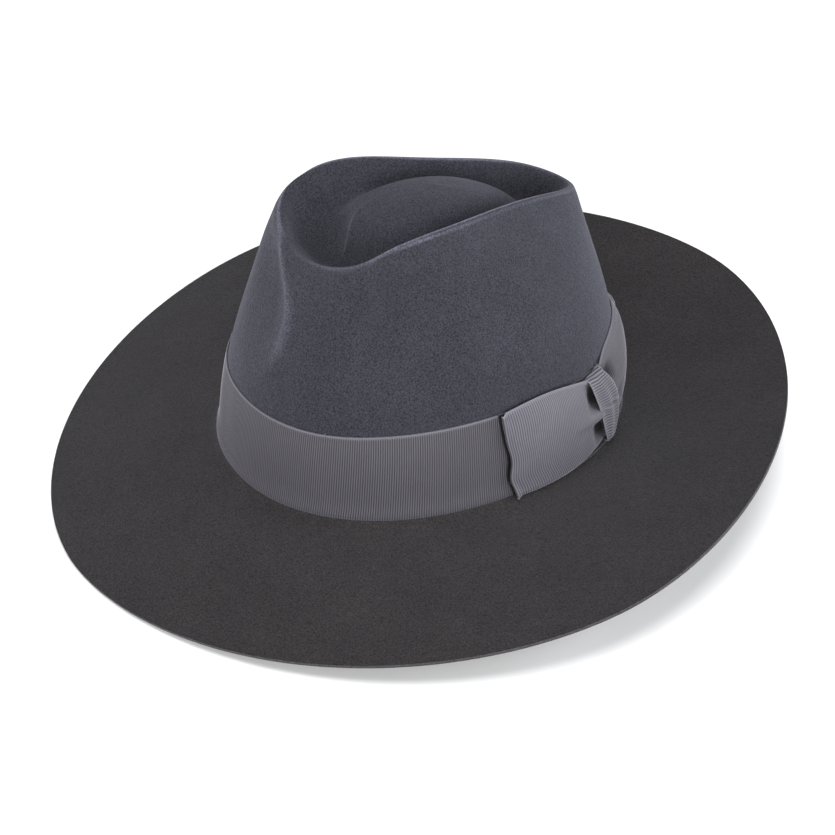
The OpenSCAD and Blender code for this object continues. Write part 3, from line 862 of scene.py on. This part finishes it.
def make_knot():
    line = np.linspace(0.002, 0.998, 801)
    share, run = evenly(knot_point(line, np.full(line.shape, 0.5)), RIB_PITCH / 5)
    w = np.interp(share, np.linspace(0, 1, len(line)), line)[:, None]
    c = np.concatenate([[0, 0.03, 0.06], np.linspace(0.1, 0.9, 15), [0.94, 0.97, 1]])[None, :]
    mid = knot_point(w, c)
    phase = KNOT_RIB_SCALE * run[:, None] + KNOT_RIB_TILT * (c - 0.5)
    knot = strip("bow_wrap", mid[:, ::-1], RIBBON - 0.1, KNOT_MAT, phase[:, ::-1], relief=0.3)
    ride(knot, "bow_knot", slot="ribbon")


def make_tacks(name, node, slot, angles, low, high, lift, bulge, material, radius=0.22):
    """Upright hand stitches at the given angles."""
    t = np.radians(angles)
    starts, ends = wall_at(t, low, lift[0]), wall_at(t, high, lift[1])
    out = wall_at(t, (low + high) / 2, sum(lift) / 2 + bulge) - (starts + ends) / 2
    ride(thread_object(name, starts, ends, out, radius, material), node, slot=slot)


# ---------------------------------------------------------------- inside the crown


def leather_depth(z):
    """Depth of the middle of the leather, which swings in over the reed at its lower edge."""
    return LEATHER_DEPTH + LEATHER / 2 + REED_SWING * bell(np.maximum(z, 0), 7)


def wave(t, rates, phases):
    """A gentle uneven wave round the hat, between 0 and 1."""
    total = sum(np.sin(r * t + p) for r, p in zip(rates, phases))
    return 0.5 + 0.5 * total / len(rates)


def make_sweatband():
    t = ring(480)[:, None]
    z = LEATHER_LOW + LEATHER_WIDTH * np.concatenate(
        [[0, 0.012], np.linspace(0.035, 0.96, 30), [0.985, 1]])[None, :]
    slack = 0.9 * smooth(z, 18, 40) * wave(t, (3, 7, 11), (0.4, 1.9, 3.0))
    mid = wall_at(t, z, -(leather_depth(z) + slack))
    band = strip("leather_sweatband", mid[:, ::-1], LEATHER - 0.1, LEATHER_MAT, wrap=True)
    ride(band, "sweatband", slot="leather")


def tube_ring(name, node, slot, t, centre, radius, sides, material, ripple=0):
    """A cord that runs round the inside of the hat. centre is (z, depth)."""
    a = np.linspace(0, 2 * np.pi, sides, endpoint=False)[None, :]
    r = radius * (1 + ripple * np.cos(np.arange(len(t)) * np.pi)[:, None] * np.ones(a.shape))
    middle = wall_at(t, np.full(t.shape, centre[0]), -centre[1])
    inward = wall_at(t, np.full(t.shape, centre[0]), -centre[1] - 1) - middle
    grid = middle[:, None] + (r * np.cos(a))[..., None] * inward[:, None]
    grid = grid + (r * np.sin(a))[..., None] * np.array([0, 0, 1.0])
    ride(grid_object(name, grid, material, True, True, True), node, slot=slot)


def make_stitching():
    edges, z = ring(STITCH_COUNT), STITCH_HEIGHT
    stitch = STITCH_SHARE * 2 * np.pi / STITCH_COUNT
    lift = -(leather_depth(z) + LEATHER / 2 - 0.1)
    starts, ends = wall_at(edges, z, lift), wall_at(edges + stitch, z, lift)
    out = wall_at(edges + stitch / 2, z, lift - 0.28) - (starts + ends) / 2
    ride(thread_object("sweatband_row_of_stitches", starts, ends, out, 0.2, SEAM_THREAD_MAT),
         "sweatband_stitching", slot="thread")


def make_seam():
    """The tape over the sweatband's back seam."""
    t = np.radians(np.linspace(*SEAM_ANGLES, 15))[:, None]
    z = np.linspace(*SEAM_HEIGHTS, 31)[None, :]
    mid = wall_at(t, z, -(leather_depth(z) + LEATHER / 2 + SEAM_RIBBON + 0.9 * smooth(z, 18, 40)))
    tape = strip("seam_tape", mid[:, ::-1], SEAM_RIBBON, SEAM_RIBBON_MAT)
    ride(tape, "sweatband_seam_tape", slot="seam_ribbon")


def make_small_bow():
    """The small flat bow on the seam tape: two folded loops and the wrap round its waist."""
    for side, way in (("right", -1), ("left", 1)):
        w = np.linspace(-1, 1, 41)[:, None]
        c = np.linspace(-1, 1, 9)[None, :]
        far = 1 - np.abs(w) ** 1.4
        flare = 0.55 + 0.45 * np.sin(np.pi * np.clip(far, 0, 1) / 2)
        t = SMALL_BOW_ANGLE + way * (0.35 + SMALL_BOW_REACH * far)
        depth = 6.0 + 0.55 * np.sign(w) * np.sin(np.pi * np.clip(far * 0.98, 0, 1)) ** 0.6
        z = SMALL_BOW_HEIGHT + 3.0 * c * flare + 0.35 * w
        bow = strip("small_bow_" + side, wall_at(np.radians(t), z, -depth), SMALL_BOW_CLOTH,
                    SEAM_RIBBON_MAT)
        ride(bow, "sweatband_bow", slot="seam_ribbon")
    phi = np.linspace(0, 2 * np.pi, 28, endpoint=False)[:, None]
    c = np.linspace(-1, 1, 7)[None, :]
    mid = wall_at(np.radians(SMALL_BOW_ANGLE + 0.45 * c), SMALL_BOW_HEIGHT + 2.3 * np.sin(phi),
                  -(6.05 + 0.85 * np.cos(phi) - 0.1 * c * c))
    knot = strip("small_bow_wrap", mid, SMALL_BOW_CLOTH, SEAM_RIBBON_MAT, wrap=True)
    ride(knot, "sweatband_bow_knot", slot="seam_ribbon")


def make_lining_wall():
    """The lining of the crown's sides, gathered in its upper part."""
    t = ring(720)
    low = s_at(t, break_z(t) + 10)
    share = np.linspace(0, 1, 60)
    s = low[:, None] + (10.45 - low[:, None]) * share[None, :]
    loose = smooth(share, 0.34, 0.6) * (1 - 0.85 * smooth(share, 0.8, 1.0))
    pleat = 0.6 * np.sin(46 * t + 1.5 * np.sin(5 * t)) + 0.4 * np.sin(71 * t + 2 * np.sin(3 * t))
    mid = skin(t[:, None], s, LINING_DEPTH + loose[None, :] * (0.9 + 0.75 * pleat[:, None]))
    side = strip("lining_wall", mid[:, ::-1], SATIN, SATIN_MAT, wrap=True)
    ride(side, "lining_side", slot="satin")


def make_lining_top():
    t = ring(360)
    s = np.linspace(10.75, COLUMN_END - 0.35, 46)
    sag = 0.35 * wave(t[:, None], (4, 9, 13), (0.3, 1.0, 2.2)) * smooth(s, 12, 14)
    front = skin(t[:, None], s[None, :], TIP_DEPTH + sag)
    back = skin(t[:, None], s[None, :], TIP_DEPTH + sag - SATIN)
    middle = dome_point(np.array([0.1]), 0)[0]
    poles = [middle - [0, 0, TIP_DEPTH - SATIN], middle - [0, 0, TIP_DEPTH]]
    tip = closed_skin("lining_top", np.concatenate([back[:, ::-1], front], 1), poles, SATIN_MAT)
    ride(tip, "lining_tip", slot="satin")


def make_piping():
    """The corded seam between the two parts of the lining."""
    t = ring(640)
    a = np.linspace(0, 2 * np.pi, 10, endpoint=False)[None, :]
    r = PIPING_R * (1 + 0.08 * np.sin(160 * t))[:, None]
    centre = skin(t, PIPING_S, PIPING_DEPTH)
    inward = -normal_at(t, np.full(t.shape, PIPING_S))
    sideways = np.cross(np.roll(centre, -1, 0) - np.roll(centre, 1, 0), inward)
    sideways /= np.linalg.norm(sideways, axis=-1, keepdims=True)
    grid = (centre[:, None] + (r * np.cos(a))[..., None] * inward[:, None]
            + (r * np.sin(a))[..., None] * sideways[:, None])
    ride(grid_object("piping_cord", grid, PIPING_MAT, True, True), "lining_piping", slot="piping")


def make_tag():
    t = np.radians(np.linspace(*TAG_ANGLES, 21))[:, None]
    z = np.linspace(*TAG_HEIGHTS, 13)[None, :]
    mid = wall_at(t, z, -(TAG_DEPTH + 0.05 * np.sin(9 * t)))
    tag = strip("blank_size_tag", mid[:, ::-1], PAPER, PAPER_MAT)
    ride(tag, "size_tag", slot="paper")


def make_bow_tacks():
    """The hidden stitches that hold the bow to the band, below it and above it."""
    t = np.radians(np.array([129.0, 131.0, 129.0, 131.0]))
    z = np.array([1.7, 1.7, 45.4, 45.4])
    starts, ends = wall_at(t, z, 0.3), wall_at(t, z + 0.7, 2.1)
    out = np.array([[0, 0, -0.25]] * 2 + [[0, 0, 0.35]] * 2)
    ride(thread_object("bow_hand_tacks", starts, ends, out, 0.22, THREAD_MAT), "bow_tacks",
         slot="thread")


def make_everything():
    make_felt()
    make_band()
    make_loop("bow_front_fold", "bow_front_loop", FRONT_LOOP, BOW_MAT)
    make_loop("bow_rear_fold", "bow_rear_loop", REAR_LOOP, BAND_MAT)
    make_knot()
    make_tacks("band_hand_tacks", "band_tacks", "thread", np.arange(-150, 151, 60.0),
               42.7, 45.2, (1.0, 0.35), 0.35, THREAD_MAT)
    make_bow_tacks()
    make_sweatband()
    tube_ring("reed_core", "sweatband_reed", "reed", ring(360), REED_CENTRE, REED_R, 12,
              REED_MAT)
    tube_ring("reed_casing", "reed_tape", "tape", ring(900), REED_CENTRE, REED_TAPE_R, 16,
              TAPE_MAT, 0.02)
    make_stitching()
    make_seam()
    make_small_bow()
    make_lining_wall()
    make_lining_top()
    make_piping()
    make_tacks("lining_hand_tacks", "lining_tacks", "thread", -157.5 + 45 * np.arange(8.0),
               8.4, 10.4, (-1.9, -2.3), -0.35, THREAD_MAT)
    make_tag()


make_everything()

# ---------------------------------------------------------------- stage, light and camera

CAMERA_AZIMUTH, CAMERA_ELEVATION, CAMERA_ROLL = 57.5, 36.55, 1.6
CAMERA_DISTANCE, LENS = 834.0, 70.75
AIM = (-2.4, -6.2)                   # right of and above the origin, millimetres
LIGHT_SIZE, LIGHT_DISTANCE = 1.3, 1.9               # metres
FLOOR_HALF = 6.0                     # metres


def looking_back(azimuth, elevation):
    """The direction from the hat towards a camera or a light. The azimuth goes as angles t do."""
    a, e = math.radians(azimuth), math.radians(elevation)
    return Vector((math.sin(a) * math.cos(e), -math.cos(a) * math.cos(e), math.sin(e)))


def make_camera():
    back = looking_back(CAMERA_AZIMUTH, CAMERA_ELEVATION)
    a = math.radians(CAMERA_AZIMUTH)
    right = Vector((math.cos(a), math.sin(a), 0))
    up = back.cross(right)
    place = back * CAMERA_DISTANCE * MM
    aim = (right * AIM[0] + up * AIM[1]) * MM
    data = bpy.data.cameras.new("camera")
    data.lens, data.sensor_width = LENS, 36
    data.clip_start, data.clip_end = 0.01, 20
    camera = bpy.data.objects.new("camera", data)
    turn = (aim - place).to_track_quat("-Z", "Y").to_matrix().to_4x4()
    camera.matrix_world = (Matrix.Translation(place) @ turn
                           @ Matrix.Rotation(math.radians(CAMERA_ROLL), 4, "Z"))
    bpy.context.scene.collection.objects.link(camera)
    bpy.context.scene.camera = camera


def make_stage(floor_z):
    n = Nodes("pale_floor")
    grain = n.remap(n.noise(0.02, 2), 0.3, 0.7)
    n.finish(n.mix(grain, (0.84, 0.84, 0.84), (0.86, 0.86, 0.86)), 0.9)
    mesh = bpy.data.meshes.new("floor")
    corners = ((-1, -1), (1, -1), (1, 1), (-1, 1))
    mesh.from_pydata([(x * FLOOR_HALF, y * FLOOR_HALF, floor_z) for x, y in corners], [],
                     [(0, 1, 2, 3)])
    mesh.materials.append(n.material)
    floor = bpy.data.objects.new("floor", mesh)
    bpy.context.scene.collection.objects.link(floor)
    floor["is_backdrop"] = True
    world = bpy.data.worlds.new("studio")
    world.use_nodes = True
    background = world.node_tree.nodes["Background"]
    background.inputs["Color"].default_value = (0.96, 0.98, 1.0, 1)
    background.inputs["Strength"].default_value = 0.08
    bpy.context.scene.world = world


def area_light(name, azimuth, elevation, power, color=(1, 1, 1)):
    """A soft round light that looks at the hat."""
    back = looking_back(azimuth, elevation)
    data = bpy.data.lights.new(name, "AREA")
    data.shape, data.size, data.energy, data.color = "DISK", LIGHT_SIZE, power, color
    lamp = bpy.data.objects.new(name, data)
    lamp.location = back * LIGHT_DISTANCE
    lamp.rotation_mode = "QUATERNION"
    lamp.rotation_quaternion = (-back).to_track_quat("-Z", "Y")
    bpy.context.scene.collection.objects.link(lamp)


def make_lights():
    area_light("right_softbox", 147.5, 17, 32, (0.95, 0.97, 1.0))
    area_light("camera_side_softbox", 57.5, 17, 30)
    area_light("left_softbox", 327.5, 20, 11, (0.95, 0.97, 1.0))
    area_light("front_left_fill", 12.5, 16, 12)
    area_light("right_fill", 102.5, 16, 12)
    area_light("back_softbox", 237.5, 17, 3)
    area_light("back_left_fill", 282.5, 17, 3)
    area_light("overhead_softbox", 57.5, 90, 35)


bpy.context.scene.view_settings.view_transform = "Standard"
make_lights()
make_camera()
make_stage(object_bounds()[0].z)
